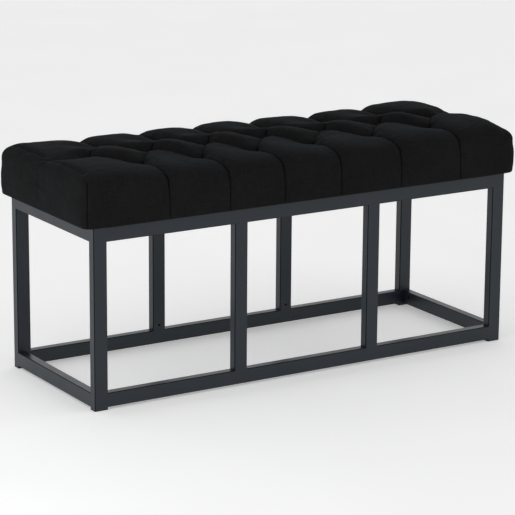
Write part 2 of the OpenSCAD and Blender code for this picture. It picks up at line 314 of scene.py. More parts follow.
def dust_cloth():
    """Black spun-bonded non-woven: tangled fibres with a small embossed dot grid."""
    t = Tree("dust_cloth_nonwoven")
    x, y, _ = t.split(t.obj)
    pitch = 0.0022
    a = t.math("SINE", t.math("MULTIPLY", t.math("ADD", x, y), math.pi / pitch))
    b = t.math("SINE", t.math("MULTIPLY", t.math("SUBTRACT", x, y), math.pi / pitch))
    dot = t.span(t.math("MULTIPLY", a, b), 0.35, 0.8, 0.0, 1.0)
    f1 = t.noise(t.scale(t.obj, (1200.0, 160.0, 400.0)), 1.0, 4.0, 0.7)
    f2 = t.noise(t.scale(t.obj, (160.0, 1200.0, 400.0)), 1.0, 4.0, 0.7)
    fib = t.math("MAXIMUM", f1, f2)
    cloud = t.noise(t.obj, 26.0, 4.0)
    colour = t.ramp(t.math("ADD", t.math("MULTIPLY", fib, 0.7), t.math("MULTIPLY", cloud, 0.3)),
                    [(0.35, (0.0050, 0.0050, 0.0055)), (0.55, (0.0110, 0.0110, 0.0120)),
                     (0.75, (0.0230, 0.0230, 0.0250))])
    colour = t.mix(t.math("MULTIPLY", dot, 0.5), colour, (0.004, 0.004, 0.0045))
    n1 = t.bump(cloud, 0.2, 0.003)
    n2 = t.bump(t.math("SUBTRACT", fib, t.math("MULTIPLY", dot, 0.8)), 0.4, 0.00025, n1)
    return t.set(Base_Color=colour, Roughness=t.span(fib, 0.3, 0.7, 0.95, 0.7), Normal=n2,
                 Specular_IOR_Level=0.2)


MATS = {
    "frame_steel": frame_steel(), "glide_plastic": glide_plastic(), "zinc_steel": zinc_steel(),
    "plywood": plywood(), "seat_foam": seat_foam(), "wadding_fibre": wadding_fibre(),
    "seat_fabric": seat_fabric(), "twine": twine(), "anchor_plastic": anchor_plastic(),
    "dust_cloth": dust_cloth(),
}

NODE_MATS = {
    "seat_board": "plywood", "tee_nuts": "zinc_steel", "seat_screws": "zinc_steel",
    "screw_washers": "zinc_steel", "foam_core": "seat_foam", "wadding": "wadding_fibre",
    "seat_cover": "seat_fabric", "tuft_twines": "twine", "tuft_anchors": "anchor_plastic",
    "cover_staples": "zinc_steel", "dust_cover": "dust_cloth", "dust_cover_staples": "zinc_steel",
}
for name, ob in NODES.items():
    key = NODE_MATS.get(name, "glide_plastic" if name.startswith("glide_") else "frame_steel")
    if not ob.material_slots:
        ob.data.materials.append(MATS[key])
    for s in ob.material_slots:
        s.material = MATS[key]

# ---------------------------------------------------------- tufted cushion ----
lo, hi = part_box("seat_cover")
HX = (hi[0] - lo[0]) / 2 / MM
HY = (hi[1] - lo[1]) / 2 / MM
CX = (hi[0] + lo[0]) / 2 / MM
CY = (hi[1] + lo[1]) / 2 / MM
Z0 = lo[2] / MM
TOP = hi[2] / MM

PLEATS = np.array([-334.0, -194.0, -64.0, 74.0, 225.0, 377.0]) * HX / 525.0
MIDS = np.array([-416.0, -272.0, -137.0, 5.0, 153.0, 296.0, 436.0]) * HX / 525.0
ROW_Y, MID_Y = 73.0, 4.0
CREST = TOP - 5.0
EDGE_Y, DROP_Y = 93.0, 25.6
EDGE_L, DROP_L = 27.4, 37.8
EDGE_R, DROP_R = 65.9, 67.0
POWER = 2.48
CORNER, FOOT = 19.0, 6.0
TUFT, TUFT_MID, TUFT_R, TUFT_P = 13.8, 18.8, 34.0, 1.44
PIT, PIT_R = 8.0, 17.0
# the diamond's folds by direction (row side, rightward): depth, reach, lean
FOLDS = {(-1, True): (12.7, 21.8, 0.75), (-1, False): (14.0, 29.0, 0.74),
         (1, True): (17.0, 24.4, 0.80), (1, False): (4.5, 24.0, 0.59)}
FOLD_P = 1.4
SEAM_R, SEAM_P, END_R = 40.5, 1.65, 66.0
LEAN, LEAN_REAR = 0.60, 0.30
MARGIN = (460.0, 140.0)

SEAM_V = np.array([73.0, 100.0, 130.0, 160.0, 190.0, 205.0, 220.0, 235.0, 254.0, 275.0, 320.0])
SEAM_A = np.array([13.6, 13.4, 9.6, 9.7, 10.8, 12.6, 8.6, 3.6, 1.2, 0.8, 0.8])
END_U = np.array([0.0, 30.0, 70.0, 109.0, 124.0, 140.0])
END_A = np.array([4.5, 21.5, 19.0, 12.5, 3.0, 0.0])
# hand-stuffed pillows: each stands a few millimetres higher or lower
PILLOW_X = (np.concatenate([[-HX], PLEATS]) + np.concatenate([PLEATS, [HX]])) / 2
REAR_UP = np.array([0.6, -1.6, -2.6, -2.7, -2.1, -6.8, -6.5, -1.0, -0.8])
FRONT_UP = np.array([-1.0, -1.0, -8.0, -6.0, -6.0, -7.0, -4.6, 1.0, 3.8])
MID_UP, CORE = np.array([5.0, 5.6, 5.9, 4.0, 1.8, 6.2]), 74.0
REAR_OFF = np.array([17.0, 19.0, 16.0, 14.0, 11.0, 20.0])
REAR_CUT = dict(zip(PLEATS.tolist(), (1.12, 1.08, 1.05, 1.35, 1.30, 1.25)))


def smooth(a, b, x):
    t = np.clip((x - a) / (b - a), 0.0, 1.0)
    return t * t * (3.0 - 2.0 * t)


def grid_lines(lo_, hi_, step, focus, offs):
    pts = {lo_, hi_}
    for f in focus:
        for o in offs:
            for s in (-1.0, 1.0):
                q = f + s * o
                if lo_ + 1.0 < q < hi_ - 1.0:
                    pts.add(round(float(q), 4))
    pts = sorted(pts)
    out = [pts[0]]
    for a, b in zip(pts, pts[1:]):
        n = max(1, int(round((b - a) / step)))
        out += [a + (b - a) * k / n for k in range(1, n + 1)]
    return np.array(out)


def round_pair(a, ha, ra, b, hb, rb, n):
    """Rounds the edge where |a| = ha meets b = hb, with semi-axes ra and rb."""
    s = np.sign(a)
    u = (np.abs(a) - (ha - ra)) / ra
    w = (b - (hb - rb)) / rb
    m = (u > 0) & (w > 0)
    uu, ww = np.where(m, u, 0.5), np.where(m, w, 0.5)
    k = np.maximum(uu, ww) / (uu ** n + ww ** n) ** (1.0 / n)
    return np.where(m, s * (ha - ra + ra * uu * k), a), np.where(m, hb - rb + rb * ww * k, b)


def wobble(x, y, z, waves, seed, terms=14):
    """Smooth noise in millimetres space, about -1 to 1, always the same."""
    r = np.random.default_rng(seed)
    out = np.zeros_like(x)
    for _ in range(terms):
        k = r.normal(size=3)
        k *= 2 * math.pi / (waves * r.uniform(0.7, 1.5)) / np.linalg.norm(k)
        out += np.cos(k[0] * x + k[1] * y + k[2] * z + r.uniform(0, 2 * math.pi))
    return out / math.sqrt(terms / 2.0) * 0.6


def seg_dist(px, py, a, b):
    dx, dy = b[0] - a[0], b[1] - a[1]
    t = np.clip(((px - a[0]) * dx + (py - a[1]) * dy) / (dx * dx + dy * dy), 0.0, 1.0)
    return np.hypot(px - a[0] - t * dx, py - a[1] - t * dy), t


class Pad:
    """The pad's skin as one grid over a box: five faces, a turned-in margin and a flat base."""

    def __init__(self, step, offs):
        self.step = step
        h = CREST - Z0
        self.X = X = grid_lines(-HX, HX, step, PLEATS, offs)
        self.Y = Y = grid_lines(-HY, HY, step, [MID_Y], offs[:1])
        self.Z = Z = np.linspace(0.0, h, int(round(h / step)) + 1)
        nx, ny, nz = len(X), len(Y), len(Z)
        on = np.zeros((nx, ny, nz), bool)
        on[0] = on[-1] = True
        on[:, 0] = on[:, -1] = True
        on[:, :, -1] = True
        self.idx = idx = -np.ones((nx, ny, nz), int)
        ii, jj, kk = np.nonzero(on)
        idx[ii, jj, kk] = np.arange(len(ii))
        self.ii, self.jj, self.kk = ii, jj, kk
        quads, group = [], []

        def add(a, b, c, d, g):
            q = np.stack([a.ravel(), b.ravel(), c.ravel(), d.ravel()], 1)
            quads.append(q)
            group.append(np.full(len(q), g))

        t = idx[:, :, -1]
        add(t[:-1, :-1], t[1:, :-1], t[1:, 1:], t[:-1, 1:], 0)
        f = idx[:, 0, :]
        add(f[:-1, :-1], f[1:, :-1], f[1:, 1:], f[:-1, 1:], 1)
        f = idx[:, -1, :]
        add(f[1:, :-1], f[:-1, :-1], f[:-1, 1:], f[1:, 1:], 2)
        f = idx[0]
        add(f[1:, :-1], f[:-1, :-1], f[:-1, 1:], f[1:, 1:], 3)
        f = idx[-1]
        add(f[:-1, :-1], f[1:, :-1], f[1:, 1:], f[:-1, 1:], 4)
        self.F = np.concatenate(quads)
        self.G = np.concatenate(group)
        self.shape()

    def normals(self, v):
        n = np.zeros_like(v)
        a, b, c, d = (v[self.F[:, k]] for k in range(4))
        fn = np.cross(c - a, d - b)
        for k in range(4):
            np.add.at(n, self.F[:, k], fn)
        return n / np.maximum(np.linalg.norm(n, axis=1, keepdims=True), 1e-12)

    def relax(self, v, soft, rounds):
        """Evens the surface out where soft is above zero; rounds are those of a 2.8 mm grid."""
        edge = np.concatenate([self.F[:, [0, 1]], self.F[:, [1, 2]], self.F[:, [2, 3]], self.F[:, [3, 0]]])
        edge = np.concatenate([edge, edge[:, ::-1]])
        edge = edge[soft[edge[:, 0]] > 0.0]
        count = np.bincount(edge[:, 0], minlength=len(v)).astype(float)[:, None]
        for _ in range(int(round(rounds * (2.8 / self.step) ** 2))):
            mean = np.stack([np.bincount(edge[:, 0], v[edge[:, 1], c], minlength=len(v)) for c in range(3)], 1)
            mean = np.where(count > 0, mean / np.maximum(count, 1.0), v)
            v = v + (mean - v) * soft[:, None] * 0.6
        return v

    def shape(self):
        x, y, z = self.X[self.ii], self.Y[self.jj], Z0 + self.Z[self.kk]
        self.L = np.stack([x, y, z], 1)
        drop = CREST - z
        end = (self.ii == 0) | (self.ii == len(self.X) - 1)
        side = (self.jj == 0) | (self.jj == len(self.Y) - 1)
        self.end, self.side = end, side
        U = np.where(end, np.sign(x) * (HX + drop), x)
        V = np.where(side, np.sign(y) * (HY + drop), y)
        self.U, self.V, self.drop = U, V, drop
        # tufts, folds between them, pleats to the long edges and folds to the ends
        K = 4.0
        total = np.zeros(len(x))
        csum = np.zeros(len(x))
        wsum = np.zeros(len(x))
        near = np.full(len(x), 1e9)

        def profile(d, s_, reach, power, lean=LEAN):
            # the folds lie over to one side: each pillow is steeper on its left
            return (1.0 - np.clip(d * (1.0 + lean * s_) / reach, 0.0, 1.0)) ** power

        folds = []
        for s in (-1.0, 1.0):
            for xp in PLEATS:
                for m in MIDS[np.argsort(np.abs(MIDS - xp))[:2]]:
                    folds.append(((xp, s * ROW_Y), (m, MID_Y), "diag"))
                folds.append(((xp, s * ROW_Y), (xp, s * (HY + CREST - Z0)), "seam"))
        folds.append(((MIDS[0], MID_Y), (-HX - 62.0, MID_Y), "end"))
        folds.append(((MIDS[-1], MID_Y), (HX + 62.0, MID_Y), "end"))
        for a, b, kind in folds:
            d, t = seg_dist(U, V, a, b)
            side_ = np.clip((U - a[0] - (b[0] - a[0]) * t) / np.maximum(d, 4.0), -1.0, 1.0)
            if kind == "diag":
                amp, reach, tip = FOLDS[(int(np.sign(a[1])), b[0] > a[0])]
                dep = amp * (1.0 - np.clip(d * (1.0 + tip * side_) / reach, 0.0, 1.0)) ** FOLD_P
                cre = 1.5 + 3.5 * np.abs(2 * t - 1) ** 3
            elif kind == "seam":
                vv = np.abs(a[1] + (b[1] - a[1]) * t)
                dep = np.interp(vv, SEAM_V, SEAM_A)
                if a[1] > 0:
                    dep = dep * REAR_CUT[float(a[0])] * profile(d, side_, SEAM_R, SEAM_P, LEAN_REAR)
                else:
                    dep = dep * profile(d, side_, SEAM_R, SEAM_P)
                cre = np.interp(vv, [73.0, 110.0, 190.0, 230.0, 300.0], [3.6, 1.6, 1.6, 2.4, 2.2])
            else:
                uu = np.abs(a[0] + (b[0] - a[0]) * t) - abs(a[0])
                d = np.where(np.abs(U) > abs(b[0]), d + 400.0, d)
                dep = np.interp(uu, END_U, END_A) * profile(d, 0.0, END_R, SEAM_P)
                cre = np.interp(uu, [0.0, 40.0, 100.0, 118.0, 130.0], [4.0, 2.0, 1.2, 0.3, 0.0])
            w = np.maximum(d, 1e-3) ** -4.0
            wsum += w
            csum += w * cre
            total += dep ** K
            near = np.minimum(near, d)
        for px_, py_, amp in ([(p, s * ROW_Y, TUFT) for p in PLEATS for s in (-1.0, 1.0)]
                              + [(m, MID_Y, TUFT_MID) for m in MIDS]):
            d = np.hypot(U - px_, V - py_)
            side_ = np.clip((U - px_) / np.maximum(d, 4.0), -1.0, 1.0)
            bowl = 1.0 - np.clip(d * (1.0 + LEAN * side_) / TUFT_R, 0.0, 1.0) ** 2
            total += (amp * bowl ** TUFT_P) ** K
        pit = np.zeros(len(x))
        for px_, py_ in [(p, s * ROW_Y) for p in PLEATS for s in (-1.0, 1.0)] + [(m, MID_Y) for m in MIDS]:
            d = np.hypot(U - px_, V - py_)
            pit += PIT * (1.0 - np.clip(d / PIT_R, 0.0, 1.0) ** 2) ** 2
        self.near = near
        self.cre = csum / wsum
        self.depth = total ** (1.0 / K) + pit
        # edges
        y, z = round_pair(y, HY, EDGE_Y, z, CREST, DROP_Y, POWER)
        xl, zl = round_pair(x, HX, EDGE_L, z, CREST, DROP_L, POWER)
        xr, zr = round_pair(x, HX, EDGE_R, z, CREST, DROP_R, POWER)
        x, z = np.where(x < 0, xl, xr), np.where(x < 0, zl, zr)
        y, zz = round_pair(y, HY, FOOT, -z, -Z0, FOOT, 2.0)
        x, zz = round_pair(x, HX, FOOT, zz, -Z0, FOOT, 2.0)
        z = -zz
        s = np.sign(x)
        u = (np.abs(x) - (HX - CORNER)) / CORNER
        w = (np.abs(y) - (HY - CORNER)) / CORNER
        m = (u > 0) & (w > 0)
        uu, ww = np.where(m, u, 0.5), np.where(m, w, 0.5)
        k = np.maximum(uu, ww) / np.hypot(uu, ww)
        x = np.where(m, s * (HX - CORNER + CORNER * uu * k), x)
        y = np.where(m, np.sign(y) * (HY - CORNER + CORNER * ww * k), y)
        base = np.stack([x, y, z], 1)
        # the four upper corners are worked round
        far = np.sqrt(np.maximum(HX - np.abs(self.L[:, 0]), 0.0) ** 2
                      + np.maximum(HY - np.abs(self.L[:, 1]), 0.0) ** 2 + drop ** 2) / 37.0
        soft = smooth(1.0, 0.3, far) * np.where(self.L[:, 0] > 0, 0.4, 0.5)
        base = self.relax(base, soft, 45.0)
        self.n0 = self.normals(base)
        low = smooth(0.0, 10.0, z - Z0)
        # long shallow belly of the side panels, pulled in at the seams and the corners
        belly = 2.4 * smooth(0.0, 26.0, z - Z0) * smooth(70.0, 40.0, z - Z0) * smooth(0.0, 60.0, near)
        uneven = 0.9 * wobble(x, y, z, 120.0, 11) * low
        base = base + self.n0 * ((belly + uneven)[:, None])
        self.v = base - self.n0 * (self.depth * low)[:, None]
        back = smooth(-60.0, 60.0, self.L[:, 1])
        across = np.concatenate([[-HX], PILLOW_X, [HX]])
        up = (np.interp(self.L[:, 0], across, REAR_UP) * back
              + np.interp(self.L[:, 0], across, FRONT_UP) * (1.0 - back))
        core = smooth(CORE, 0.0, np.abs(self.L[:, 1] - MID_Y))
        up = up * (1.0 - core) + np.interp(self.L[:, 0], PLEATS, MID_UP) * core
        self.v[:, 2] += up * np.clip((self.v[:, 2] - Z0 - 25.0) / 60.0, 0.0, 1.0)
        # the stuffing rounds the pillows off between their folds
        self.v = self.relax(self.v, smooth(2.0, 13.0, near) * smooth(34.0, 6.0, drop), 30.0)
        # the back row's pleats run off to the left on their way over the back edge
        lx, ly = self.L[:, 0], self.L[:, 1]
        self.v[:, 0] -= (np.interp(lx, PLEATS, REAR_OFF) * np.sin(np.clip((ly - ROW_Y) / 66.0, 0.0, 1.0) * math.pi / 2)
                         * smooth(HX, HX - 120.0, np.abs(lx)))
        self.low = low


def plain_mesh(name, verts, quads):
    me = bpy.data.meshes.new(name)
    me.from_pydata([tuple(p) for p in verts.tolist()], [], quads.tolist())
    me.validate()
    me.update()
    return me


def inflate():
    """Cloth simulation on a coarse copy of the skin: the folds and the base are held, the pillows swell."""
    p = Pad(7.0, (0.0, 6.0))
    ob = bpy.data.objects.new("pad_sim", plain_mesh("pad_sim", p.v * MM, p.F))
    bpy.context.scene.collection.objects.link(ob)
    hold = np.clip(np.exp(-(p.near / 5.0) ** 2) * 1.15, 0.0, 1.0)
    hold = np.maximum(hold, 1.0 - smooth(2.0, 16.0, p.L[:, 2] - Z0))
    corner = p.end & p.side
    hold = np.maximum(hold, np.where(corner, 0.9, 0.0))
    vg = ob.vertex_groups.new(name="held")
    for k, w in enumerate(hold):
        if w > 0.02:
            vg.add([k], float(w), "REPLACE")
    md = ob.modifiers.new("cloth", "CLOTH")
    st = md.settings
    st.quality = 6
    st.mass = 0.25
    st.tension_stiffness = 18.0
    st.compression_stiffness = 18.0
    st.shear_stiffness = 6.0
    st.bending_stiffness = 1.2
    st.use_pressure = True
    st.uniform_pressure_force = 4.0
    st.vertex_group_mass = "held"
    st.pin_stiffness = 2.0
    st.effector_weights.gravity = 0.0
    md.point_cache.frame_start = 1
    md.point_cache.frame_end = 22
    sc = bpy.context.scene
    for f in range(1, 21):
        sc.frame_set(f)
    dg = bpy.context.evaluated_depsgraph_get()
    ev = ob.evaluated_get(dg)
    co = np.empty(len(p.v) * 3)
    ev.data.vertices.foreach_get("co", co)
    move = co.reshape(-1, 3) / MM - p.v
    size = np.linalg.norm(move, axis=1)
    cap = 9.0
    move *= (cap * np.tanh(size / cap) / np.maximum(size, 1e-9))[:, None]
    move *= (1.0 - hold)[:, None]
    me = ob.data
    bpy.data.objects.remove(ob)
    bpy.data.meshes.remove(me)
    sc.frame_set(1)
    nn = p.normals(p.v)
    out = (move * nn).sum(1)
    mid = (p.near > 45) & (p.kk == len(p.Z) - 1)
    face = (p.near > 45) & p.side & (p.kk < len(p.Z) - 4)
    print("pad swell mm: mean %.2f max %.2f top %.2f side %.2f points %d"
          % (size.mean(), size.max(), out[mid].mean(), out[face].mean(), len(size)))
    return p, move


def carry(coarse, move, fine):
    """The coarse grid's moves, read between its lines at the fine grid's points."""
    out = np.zeros_like(fine.v)

    def between(lines, q):
        k = np.clip(np.searchsorted(lines, q) - 1, 0, len(lines) - 2)
        return k, (q - lines[k]) / (lines[k + 1] - lines[k])

    ia, fa = between(coarse.X, fine.X[fine.ii])
    ja, fb = between(coarse.Y, fine.Y[fine.jj])
    ka, fc = between(coarse.Z, fine.Z[fine.kk])
    ci, cj, ck = len(coarse.X) - 1, len(coarse.Y) - 1, len(coarse.Z) - 1
    top = fine.kk == len(fine.Z) - 1
    ends = (fine.ii == 0) | (fine.ii == len(fine.X) - 1)
    sides = (fine.jj == 0) | (fine.jj == len(fine.Y) - 1)

    def pick(i, j, k, m):
        return move[coarse.idx[i[m], j[m], k[m]]]

    m = top
    if m.any():
        kt = np.full(len(ia), ck)
        a, b = fa[m, None], fb[m, None]
        out[m] = (pick(ia, ja, kt, m) * (1 - a) * (1 - b) + pick(ia + 1, ja, kt, m) * a * (1 - b)
                  + pick(ia, ja + 1, kt, m) * (1 - a) * b + pick(ia + 1, ja + 1, kt, m) * a * b)
    m = sides & ~top
    jt = np.where(fine.jj == 0, 0, cj)
    a, c = fa[m, None], fc[m, None]
    out[m] = (pick(ia, jt, ka, m) * (1 - a) * (1 - c) + pick(ia + 1, jt, ka, m) * a * (1 - c)
              + pick(ia, jt, ka + 1, m) * (1 - a) * c + pick(ia + 1, jt, ka + 1, m) * a * c)
    m = ends & ~top & ~sides
    it = np.where(fine.ii == 0, 0, ci)
    b, c = fb[m, None], fc[m, None]
    out[m] = (pick(it, ja, ka, m) * (1 - b) * (1 - c) + pick(it, ja + 1, ka, m) * b * (1 - c)
              + pick(it, ja, ka + 1, m) * (1 - b) * c + pick(it, ja + 1, ka + 1, m) * b * c)
    return out


def fold_shade_lines(q):
    """For each face the distance, in metres, of its corners from the nearest fold or seam, and how strong the painted
    shade along that line is.
    """
    centre = q.mean(1)
    cu, cv = centre.T
    best = np.full(len(q), 1e9)
    out = np.zeros(q.shape)
    out[:, :, 0] = 1.0

    def offer(a, b, strength, where=None):
        a, b = np.array(a, float), np.array(b, float)
        ln = np.hypot(*(b - a))
        dx, dy = (b - a) / ln
        d, _ = seg_dist(cu, cv, a, b)
        m = (d < best) & (d < 9.0)
        if where is not None:
            m &= where
        best[m] = d[m]
        rel = q[m] - a
        off = rel[:, :, 0] * dy - rel[:, :, 1] * dx
        along = rel[:, :, 0] * dx + rel[:, :, 1] * dy
        out[m, :, 0] = off * MM
        out[m, :, 1] = strength(along)

    for s in (-1.0, 1.0):
        for xp in PLEATS:
            offer((xp, s * ROW_Y), (xp, s * (HY + CREST - Z0)),
                  lambda r: smooth(-4.0, 0.0, r) * (0.72 + 0.28 * smooth(190.0, 130.0, r)))
            for m_ in MIDS[np.argsort(np.abs(MIDS - xp))[:2]]:
                offer((xp, s * ROW_Y), ((xp + m_) / 2, (s * ROW_Y + MID_Y) / 2), lambda r: smooth(-4.0, 0.0, r) * smooth(46.0, 28.0, r))
                offer((m_, MID_Y), ((xp + m_) / 2, (s * ROW_Y + MID_Y) / 2), lambda r: smooth(-4.0, 0.0, r) * smooth(46.0, 28.0, r))
    for s in (-1.0, 1.0):
        for w in (-1.0, 1.0):
            offer((w * (HX - 4.5), s * (HY + 4.0)), (w * (HX - 4.5), s * (HY + CREST - Z0)),
                  lambda r: smooth(2.0, 12.0, r), (np.abs(cv) > HY) & (np.abs(cu) < HX))
    return out


def build_pad():
    fine = Pad(2.8, (0.0, 1.1, 2.5))
    v = fine.v.copy()
    coarse, move = inflate()
    v += carry(coarse, move, fine)
    n = fine.normals(v)
    x, y, z = fine.L.T
    low = fine.low
    # fold creases and seams: narrow, sharp at the bottom
    cre = fine.cre * np.exp(-(fine.near / 2.1) ** 1.25)
    # radial gathers round the folds
    gather = wobble(fine.U, fine.V * 1.0, z * 0.0, 17.0, 5) * 0.55 * np.exp(-((fine.near - 9.0) / 9.0) ** 2)
    # vertical corner seams
    along = np.where(fine.side, np.abs(HX - 4.5 - np.abs(x)), 1e3)
    corner = 2.6 * np.exp(-(along / 2.6) ** 1.3) * smooth(8.0, 20.0, fine.drop)
    # the end panel's upper seam lies just inside the end's top edge
    gap = np.abs((HX - np.abs(x)) - 17.0)
    part = smooth(10.0, 30.0, np.abs(y - MID_Y)) * (1.0 - smooth(HY - 44.0, HY - 14.0, np.abs(y)))
    welt = np.where(fine.kk == len(fine.Z) - 1, 4.6 * np.exp(-(gap / 7.0) ** 2) * part, 0.0)
    grain = 0.22 * wobble(x, y, z, 26.0, 7) * low
    v = v - n * ((cre + corner + welt) * low)[:, None] + n * ((gather + grain) * low)[:, None]
    v[:, 2] = np.maximum(v[:, 2], Z0 + 0.02)

    # turned-in margin and base
    verts = [v]
    faces = [fine.F]
    nx, ny = len(fine.X), len(fine.Y)
    loop = ([fine.idx[i, 0, 0] for i in range(nx)] + [fine.idx[nx - 1, j, 0] for j in range(1, ny)]
            + [fine.idx[i, ny - 1, 0] for i in range(nx - 2, -1, -1)] + [fine.idx[0, j, 0] for j in range(ny - 2, 0, -1)])
    loop = np.array(loop)
    ring = v[loop]
    prev = loop
    count = len(v)
    quads = []
    steps = [(0.10, 0.0), (0.35, 0.0), (0.7, 0.0), (1.0, 0.0), (1.0, 1.1)]
    ang = np.arange(len(loop))
    for f, up in steps:
        tx = np.clip(ring[:, 0], -MARGIN[0], MARGIN[0])
        ty = np.clip(ring[:, 1], -MARGIN[1], MARGIN[1])
        r = ring.copy()
        r[:, 0] += (tx - ring[:, 0]) * f
        r[:, 1] += (ty - ring[:, 1]) * f
        r[:, 2] = Z0 + 0.02 + up
        new = count + ang
        nxt = np.roll(np.arange(len(loop)), -1)
        quads.append(np.stack([prev[nxt], prev, new, new[nxt]], 1))
        verts.append(r)
        count += len(r)
        prev = new
    verts = np.concatenate(verts)
    quads = np.concatenate([fine.F] + quads)
    me = bpy.data.meshes.new("seat_pad")
    polys = quads.tolist() + [prev[::-1].tolist()]
    me.from_pydata([tuple(p) for p in (verts * MM + np.array([CX, CY, 0.0]) * MM).tolist()], [], polys)
    uv = me.uv_layers.new(name="sheet")
    lv = np.empty(len(me.loops), int)
    me.loops.foreach_get("vertex_index", lv)
    px, py = verts[:, 0], verts[:, 1]
    U = px.copy()
    V = py.copy()
    n0 = len(v)
    coords = np.stack([U[lv], V[lv]], 1)
    nf = len(fine.F)
    g = np.repeat(fine.G, 4)
    li = lv[: nf * 4]
    su, sv = np.sign(fine.L[li, 0]), np.sign(fine.L[li, 1])
    dr = fine.drop[li]
    coords[: nf * 4, 0] = np.where(g >= 3, su * (HX + dr), fine.L[li, 0])
    coords[: nf * 4, 1] = np.where((g == 1) | (g == 2), sv * (HY + dr), fine.L[li, 1])
    uv.data.foreach_set("uv", (coords * MM).ravel())
    # the folds map sets where and how strongly the fabric's painted shade darkens each fold and seam
    lines_ = me.uv_layers.new(name="folds")
    fold_shade_uv = np.zeros((len(lv), 2))
    fold_shade_uv[:, 0] = 1.0
    fold_shade_uv[: nf * 4] = fold_shade_lines(coords[: nf * 4].reshape(-1, 4, 2)).reshape(-1, 2)
    lines_.data.foreach_set("uv", fold_shade_uv.ravel())
    me.validate()
    me.polygons.foreach_set("use_smooth", [True] * len(me.polygons))
    me.update()
    ob = bpy.data.objects.new("seat_pad", me)
    bpy.context.scene.collection.objects.link(ob)
    me.materials.append(MATS["seat_fabric"])
    top = np.nonzero(fine.kk == len(fine.Z) - 1)[0]
    tufts = []
    for px_, py_ in [(p, s * ROW_Y) for p in PLEATS for s in (-1.0, 1.0)] + [(m, MID_Y) for m in MIDS]:
        k = top[np.argmin(np.hypot(fine.U[top] - px_, fine.V[top] - py_))]
        tufts.append(verts[k] * MM + np.array([CX, CY, 0.0]) * MM)
    return ob, tufts


pad, tufts = build_pad()
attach(pad, "root")
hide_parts("seat_cover", "wadding", "foam_core")


# --------------------------------------------------------------- tuft ties ----
def tube(verts, faces, path, radius, sides=8):
    """A closed round tube along a path of points."""
    path = [Vector(p) for p in path]
    start = len(verts)
    side = None
    for k, p in enumerate(path):
        d = (path[min(k + 1, len(path) - 1)] - path[max(k - 1, 0)]).normalized()
        if side is None:
            side = d.orthogonal().normalized()
        side = (side - d * side.dot(d)).normalized()
        other = d.cross(side)
        for a in range(sides):
            t = 2 * math.pi * a / sides
            verts.append(tuple(p + (side * math.cos(t) + other * math.sin(t)) * radius))
    for k in range(len(path) - 1):
        for a in range(sides):
            b = (a + 1) % sides
            q = start + k * sides
            faces.append((q + a, q + b, q + sides + b, q + sides + a))
    faces.append(tuple(range(start + sides - 1, start - 1, -1)))
    end = start + (len(path) - 1) * sides
    faces.append(tuple(range(end, end + sides)))


def build_ties():
    """Each tuft's twine, from its anchor under the board up to a short double stitch in the bottom of the hollow."""
    verts, faces = [], []
    z0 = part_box("tuft_twines")[0][2]
    for n, t in enumerate(tufts):
        x, y, z = (float(c) for c in t)
        turn = 0.35 * math.sin(2.1 * n)
        c, s_ = math.cos(turn), math.sin(turn)
        tube(verts, faces, [(x, y, z0 + (z - 0.0012 - z0) * k / 6.0) for k in range(7)], 0.001)
        for off in (-0.00062, 0.00062):
            pts = []
            for u, w in ((-3.4, -1.6), (-2.9, -0.5), (-1.9, 0.35), (-0.7, 0.6), (0.7, 0.6), (1.9, 0.35), (2.9, -0.5), (3.4, -1.6)):
                a, b = u * MM, off * (1.0 - 0.16 * abs(u))
                pts.append((x + a * c - b * s_, y + a * s_ + b * c, z + w * MM + 0.0004))
            tube(verts, faces, pts, 0.00055)
    me = bpy.data.meshes.new("tuft_ties")
    me.from_pydata(verts, [], faces)
    me.validate()
    me.polygons.foreach_set("use_smooth", [True] * len(me.polygons))
    me.update()
    ob = bpy.data.objects.new("tuft_ties", me)
    bpy.context.scene.collection.objects.link(ob)
    me.materials.append(MATS["twine"])
    return ob


ties = build_ties()
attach(ties, "root")
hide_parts("tuft_twines")


# -------------------------------------------------------------- dust cover ----
def build_dust_cover():
    lo_, hi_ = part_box("dust_cover")
    x0, y0, z1 = lo_[0] / MM, lo_[1] / MM, hi_[2] / MM
    x1, y1 = hi_[0] / MM, hi_[1] / MM
    nx, ny = 121, 41
    xs, ys = np.linspace(x0, x1, nx), np.linspace(y0, y1, ny)
    gx, gy = np.meshgrid(xs, ys, indexing="ij")
    # distance in from the edge
    ex = np.minimum(gx - x0, x1 - gx)
    ey = np.minimum(gy - y0, y1 - gy)
    e = np.minimum(ex, ey)
    sag = 2.4 * smooth(0.0, 120.0, e) + 0.22 * wobble(gx, gy, gx * 0, 70.0, 3) * smooth(6.0, 40.0, e)
    slack = 0.16 * (1 - np.cos(2 * np.pi * gx / 61.0)) * np.exp(-(ey / 14.0)) * smooth(0.0, 6.0, ey)
    z = z1 - 0.10 - sag - slack
    z = np.minimum(z, z1 - 0.08)
    verts = np.stack([gx, gy, z], -1).reshape(-1, 3)
    idx = np.arange(nx * ny).reshape(nx, ny)
    q = np.stack([idx[:-1, :-1].ravel(), idx[:-1, 1:].ravel(), idx[1:, 1:].ravel(), idx[1:, :-1].ravel()], 1)
    me = plain_mesh("dust_sheet", verts * MM, q)
    me.polygons.foreach_set("use_smooth", [True] * len(me.polygons))
    ob = bpy.data.objects.new("dust_sheet", me)
    bpy.context.scene.collection.objects.link(ob)
    me.materials.append(MATS["dust_cloth"])
    md = ob.modifiers.new("thickness", "SOLIDIFY")
    md.thickness = 0.0003
    md.offset = 1.0
    return ob, ((x1 - x0) * MM, (y1 - y0) * MM)


dust, dust_flat = build_dust_cover()
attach(dust, "root")
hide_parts("dust_cover")

